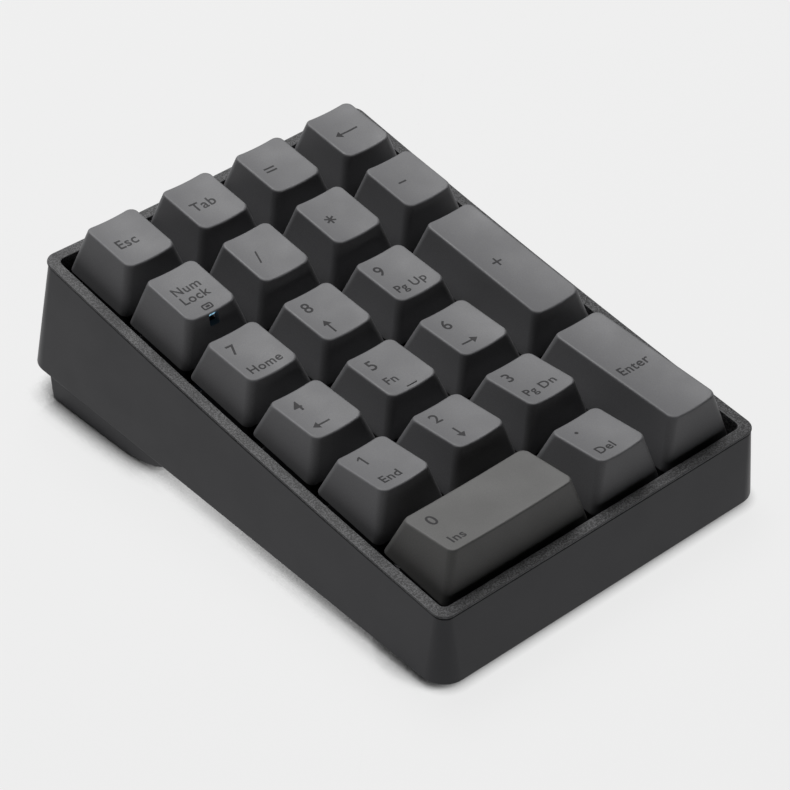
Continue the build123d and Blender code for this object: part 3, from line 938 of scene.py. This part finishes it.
def frame_ring():
    """The frame round the keys: rounded edges, a shadow gap under the outer one and a locating lip."""

    def on_surface(inset, drop):
        return [(x, v, -drop - sag(v)) for x, v in frame_loop(inset)]

    def at_level(inset, level):
        return [(x, v, level) for x, v in frame_loop(inset)]

    lip_out = RIM_W - LIP_T
    gap_in, gap_out = on_surface(EDGE_W, EDGE_T), on_surface(0, EDGE_T)
    outer_top, inner_top = on_surface(0, 0), on_surface(RIM_W, 0)
    inner_low, lip_low = at_level(RIM_W, LIP_END), at_level(lip_out, LIP_END)
    shell = Shell()
    rings = rounded_rings(gap_in, gap_out, outer_top, FRAME_LOW_R, 2)
    rings += rounded_rings(gap_out, outer_top, inner_top, FRAME_OUTER_R, 5)
    rings += rounded_rings(outer_top, inner_top, inner_low, FRAME_INNER_R, 4)
    rings += [(inner_low, 0.0), (lip_low, 0.0), (on_surface(lip_out, FRAME_T), 0.0)]
    rings += [(on_surface(EDGE_W, FRAME_T), 0.0), (gap_in, 0.0)]
    made = shell.stack(rings)
    shell.bridge(made[-1], made[0])
    piece = shell.piece("frame_ring", MATERIALS["frame_plastic"])
    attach(piece, "case")
    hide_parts("upper_case")


def case_outline(depth, inset):
    """Outline of the case walls at a depth under the rim."""
    half_w = RIM_HALF_W - SEAM + depth * tan(SIDE_DRAFT) - inset
    front = -RIM_HALF_L + SEAM - depth * tan(FRONT_DRAFT) + inset
    rear = RIM_HALF_L + BACK_BOW - SEAM + depth * tan(BACK_DRAFT) - inset
    front_r = max(FRONT_CORNER + FRONT_GROWTH * depth - inset, LEAST_CORNER)
    back_r = max(BACK_CORNER + BACK_GROWTH * depth - inset, LEAST_CORNER)
    return [(x, v, -depth) for x, v in bowed_rect(half_w, front, rear, front_r, back_r)]


def walls(inset, start, end):
    """Rings where the wall lines are as deep as start and end say."""
    lines = list(zip(case_outline(0, inset), case_outline(CASE_DEPTH, inset)))
    return [
        [between(high, low, depth(high, low) / CASE_DEPTH) for high, low in lines]
        for depth in (start, end)
    ]


def depth_at_base(lift):
    """Depth at which a wall line meets the underside, or a plane lift above it."""

    def depth(high, low):
        top, bottom = place(high) / MM, place(low) / MM
        clear_top = (top - BASE_POINT).dot(BASE_UP) - lift
        clear_bottom = (bottom - BASE_POINT).dot(BASE_UP) - lift
        return CASE_DEPTH * clear_top / (clear_top - clear_bottom)

    return depth


def depth_at_seam(high, low):
    return FRAME_T + sag(high[1])


def case_tub():
    """The wedge tub as one closed shell, with its rounded bottom edge and the rebate for the frame."""
    top, bottom = walls(0, depth_at_seam, depth_at_base(0))
    rebate = frame_loop(RIM_W - LIP_T - REBATE_GAP)
    rebate_top = [(x, v, -FRAME_T - sag(v)) for x, v in rebate]
    rebate_low = [(x, v, LIP_END - REBATE_DEEPER) for x, v in rebate]

    def depth_at_rebate(high, low):
        return REBATE_DEEPER - LIP_END

    cavity_top, cavity_low = walls(WALL_T, depth_at_rebate, depth_at_base(FLOOR_T))
    middle = mean_point(bottom)
    near_middle = [between(p, middle, 0.5) for p in bottom]
    shell = Shell()
    rings = [(near_middle, 0.0)]
    rings += rounded_rings(near_middle, bottom, top, TUB_LOW_R, 4)
    rings += part_way(bottom, top, (0.25, 0.5, 0.75))
    rings += rounded_rings(bottom, top, rebate_top, TUB_TOP_R, 4)
    rings += [(rebate_top, 0.0), (rebate_low, 0.0), (cavity_top, 0.0), (cavity_low, 0.0)]
    made = shell.stack(rings)
    shell.fan(made[0], middle)
    shell.fan(made[-1], mean_point(cavity_low), flip=True)
    tub = shell.piece("case_tub", MATERIALS["case_plastic"])
    combine(tub, [rear_foot()] + [screw_post(x, v) for x, v in SCREW_SPOTS], "UNION")
    recesses = [pad_solid("recess", x, y) for x, y in PAD_SPOTS]
    combine(tub, [inlet_cutter()] + recesses, "DIFFERENCE")
    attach(tub, "case")
    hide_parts("lower_case")


def rear_foot():
    """Raised block under the back, inside the walls' slope, with rounded edges."""
    reach = RIM_HALF_W + 6
    sides = [[key_coords((x, y, z)) for y, z in FOOT_PROFILE] for x in (-reach, reach)]
    block = box_shell("foot", *sides, MATERIALS["case_plastic"])
    low = case_outline(CASE_DEPTH + 10, FOOT_INSET)
    high = case_outline(0, FOOT_INSET)
    combine(block, [box_shell("foot_space", low, high, MATERIALS["case_plastic"])], "INTERSECT")
    round_edges(block, FOOT_R)
    return block


def round_edges(piece, width):
    """Rounds the sharp edges of a piece."""
    bevel = piece.modifiers.new("round", "BEVEL")
    bevel.width = width * MM
    bevel.segments = 3
    bevel.limit_method = "ANGLE"
    bevel.angle_limit = radians(30)
    keep_result(piece, bevel)


def screw_post(x, v):
    """Post from the floor up to the switch plate."""
    depth = depth_at_base(FLOOR_T / 2)
    outline = circle(x, v, POST_R, 32)
    low = [(cx, cv, -depth((cx, cv, 0), (cx, cv, -CASE_DEPTH))) for cx, cv in outline]
    high = [(cx, cv, POST_TOP) for cx, cv in outline]
    return box_shell("post", low, high, MATERIALS["case_plastic"])


def inlet_cutter():
    """Opening in the back wall for the plug."""
    outline = rounded_rect(INLET_W / 2, INLET_H / 2, INLET_R, 6, (1, 1))
    ends = [[(x, USB_V + v, INLET_LEVEL + n) for x, n in outline] for v in (-4, 8)]
    return box_shell("inlet", *ends, MATERIALS["case_plastic"])


def pad_solid(name, x, y, edge=None):
    """Round pad with its lower edge rounded or, without an edge, the cutter of its recess."""
    levels = [(PAD_R, PAD_T), (PAD_R, edge or -1.0)]
    for step in range(1, 5) if edge else ():
        angle = step * pi / 8
        levels.append((PAD_R - edge * (1 - cos(angle)), edge * (1 - sin(angle))))
    shell = Shell()
    rings = []
    for radius, z in levels:
        rings.append(([(*point, z) for point in circle(x, y, radius, 48)], 0.0))
    made = shell.stack(rings)
    shell.fan(made[0], (x, y, levels[0][1]))
    shell.fan(made[-1], (x, y, levels[-1][1]))
    return shell.piece(name, MATERIALS["foot_rubber"], to_world=lambda p: Vector(p) * MM)


def rubber_pads():
    for number, (x, y) in enumerate(PAD_SPOTS, 1):
        pad = pad_solid("foot_pad_%d" % number, x, y, PAD_EDGE)
        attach(pad, "case")
        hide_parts("rubber_feet")


# ------------------------------------------------------------ USB socket
def socket_point(x, n, v):
    return (x, USB_V + v, INLET_LEVEL + n)


def socket_ring(outline, depth):
    return ([socket_point(x, n, -depth) for x, n in outline], 0.0)


def socket_shell():
    """Folded steel shell with a rounded mouth and a closed end."""
    lip = 0.12
    inner_w, inner_h = USB_HALF_W - USB_WALL, USB_HALF_H - USB_WALL
    outer = rounded_rect(USB_HALF_W, USB_HALF_H, USB_CORNER, 8, (4, 1))
    inner = rounded_rect(inner_w, inner_h, USB_CORNER - USB_WALL, 8, (4, 1))
    middle = [between(a, b, 0.5) for a, b in zip(outer, inner)]
    shell = Shell()
    rings = [socket_ring(outer, USB_L), socket_ring(outer, lip), socket_ring(middle, 0.0)]
    rings += [socket_ring(inner, lip), socket_ring(inner, USB_DEEP)]
    made = shell.stack(rings)
    shell.fan(made[0], socket_point(0, 0, -USB_L))
    shell.fan(made[-1], socket_point(0, 0, -USB_DEEP))
    return shell.piece("usb_shell", MATERIALS["socket_steel"])


def socket_tongue():
    """Tongue from the closed end, with its front edge chamfered."""
    rear = USB_DEEP + 0.1
    outline = rounded_rect(TONGUE_HALF_W, TONGUE_HALF_H, TONGUE_R, 3, (1, 1))
    small = [(x * 0.98, n * 0.75) for x, n in outline]
    shell = Shell()
    rings = [socket_ring(outline, rear), socket_ring(outline, TONGUE_FRONT + TONGUE_CHAMFER)]
    made = shell.stack(rings + [socket_ring(small, TONGUE_FRONT)])
    shell.fan(made[0], socket_point(0, 0, -rear))
    shell.fan(made[-1], socket_point(0, 0, -TONGUE_FRONT))
    return shell.piece("usb_tongue", MATERIALS["chip_black"])


def socket_contacts():
    """Gilt strips on both sides of the tongue."""
    shell = Shell()
    for index in range(CONTACTS):
        x = (index - (CONTACTS - 1) / 2) * CONTACT_PITCH
        for side in (-1, 1):
            near, far = CONTACT_IN * side, CONTACT_OUT * side
            left, right = x - CONTACT_HALF_W, x + CONTACT_HALF_W
            strip = [(left, near), (right, near), (right, far), (left, far)]
            made = shell.stack([socket_ring(strip, CONTACT_REAR), socket_ring(strip, CONTACT_FRONT)])
            shell.faces += [tuple(made[0]), tuple(made[1])]
    return shell.piece("usb_contacts", GOLD)


def usb_socket():
    """Steel shell, tongue and contacts of the socket."""
    can, tongue, contacts = socket_shell(), socket_tongue(), socket_contacts()
    for piece, slot in ((can, "socket_steel"), (tongue, "chip_black"), (contacts, "contact_brass")):
        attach(piece, "case")
        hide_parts("usb_socket")


make_keys()
frame_ring()
case_tub()
rubber_pads()
usb_socket()

# ------------------------------------------------------------ floor, light and camera
FLOOR_HALF = 3.0
FLOOR_GLOW = 0.81
CONTACT = 2.2  # reach of the painted contact shadow, in millimetres
SHADE, SHADE_LEAN = 9.0, (0.6, -0.5, 0.62)  # reach of the soft shade, and where it looks
SHADE_DARK, SHADE_CLEAR = 0.37, 0.62  # openness at which the soft shade is full and is gone
KEY_POWER, SIDE_POWER, BOX_SIZE = 10.5, 2.3, 0.56
CENTRE = (0.0, 0.0, 0.02)


def openness(tree, reach_mm, lean=None):
    """How open the view from the floor is within a reach, from 0 to 1, leaning to one side if asked."""
    node = tree.nodes.new("ShaderNodeAmbientOcclusion")
    node.inputs["Distance"].default_value = reach_mm * MM
    node.samples = 8
    if lean:
        direction = tree.nodes.new("ShaderNodeCombineXYZ")
        for axis, value in zip("XYZ", lean):
            direction.inputs[axis].default_value = value
        tree.links.new(direction.outputs["Vector"], node.inputs["Normal"])
    return node.outputs["AO"]


def lit_sheet(name):
    """Pale matt sheet, lit from below, with painted shade: its glow darkens close to what stands on it."""
    material = bpy.data.materials.new(name)
    tree, shader = nodes_of(material)
    grain = noise(tree, 30.0, 3.0, 0.5)
    base = blended(tree, grain, (0.038, 0.038, 0.038), (0.042, 0.042, 0.042))
    tree.links.new(base, shader.inputs["Base Color"])
    shader.inputs["Roughness"].default_value = 0.9
    shader.inputs["Specular IOR Level"].default_value = 0.1
    # painted shade: a tight contact shadow and a soft shade leaning to one side, taken out of the glow
    leaning = openness(tree, SHADE, SHADE_LEAN)
    painted_shade = tree.nodes.new("ShaderNodeMath")
    painted_shade.operation = "MULTIPLY"
    tree.links.new(openness(tree, CONTACT), painted_shade.inputs[0])
    tree.links.new(ranged(tree, leaning, SHADE_DARK, SHADE_CLEAR, 0.0, 1.0), painted_shade.inputs[1])
    tree.links.new(painted_shade.outputs["Value"], shader.inputs["Emission Color"])
    shader.inputs["Emission Strength"].default_value = FLOOR_GLOW
    return material


def floor_sheet():
    mesh = bpy.data.meshes.new("floor")
    corners = [(-1, -1, 0), (1, -1, 0), (1, 1, 0), (-1, 1, 0)]
    mesh.from_pydata([Vector(corner) * FLOOR_HALF for corner in corners], [], [(0, 1, 2, 3)])
    floor = bpy.data.objects.new("floor", mesh)
    COLLECTION.objects.link(floor)
    floor.data.materials.append(lit_sheet("sheet"))


def softbox(name, size, power, position, target):
    """Square area light that faces a target, in metres."""
    light = bpy.data.lights.new(name, "AREA")
    light.shape = "SQUARE"
    light.size = size
    light.energy = power
    holder = bpy.data.objects.new(name, light)
    holder.location = position
    direction = Vector(target) - Vector(position)
    holder.rotation_euler = direction.to_track_quat("-Z", "Y").to_euler()
    COLLECTION.objects.link(holder)


def around(azimuth, elevation, distance=1.0):
    """Place at an azimuth and elevation from the keypad, in degrees and metres."""
    turn, rise = radians(azimuth), radians(elevation)
    flat = distance * cos(rise)
    return (flat * cos(turn), flat * sin(turn), distance * sin(rise))


def studio():
    """Faint even light from all round."""
    world = bpy.data.worlds.new("studio")
    world.use_nodes = True
    background = world.node_tree.nodes["Background"]
    background.inputs["Color"].default_value = (1.0, 1.0, 1.0, 1)
    background.inputs["Strength"].default_value = 0.01
    SCENE.world = world
    SCENE.view_settings.view_transform = "Standard"


def camera_view():
    camera = bpy.data.cameras.new("camera")
    camera.lens = 144.55
    camera.sensor_width = 36.0
    camera.clip_start, camera.clip_end = 0.01, 20.0
    holder = bpy.data.objects.new("camera", camera)
    holder.location = (-0.3285, -0.36973, 0.4111)
    holder.rotation_euler = (radians(51.05), 0, radians(-41.74))
    COLLECTION.objects.link(holder)
    SCENE.camera = holder


floor_sheet()
softbox("key", BOX_SIZE, KEY_POWER, around(60, 60), CENTRE)
softbox("side", BOX_SIZE, SIDE_POWER, around(122, 58), CENTRE)
studio()
camera_view()
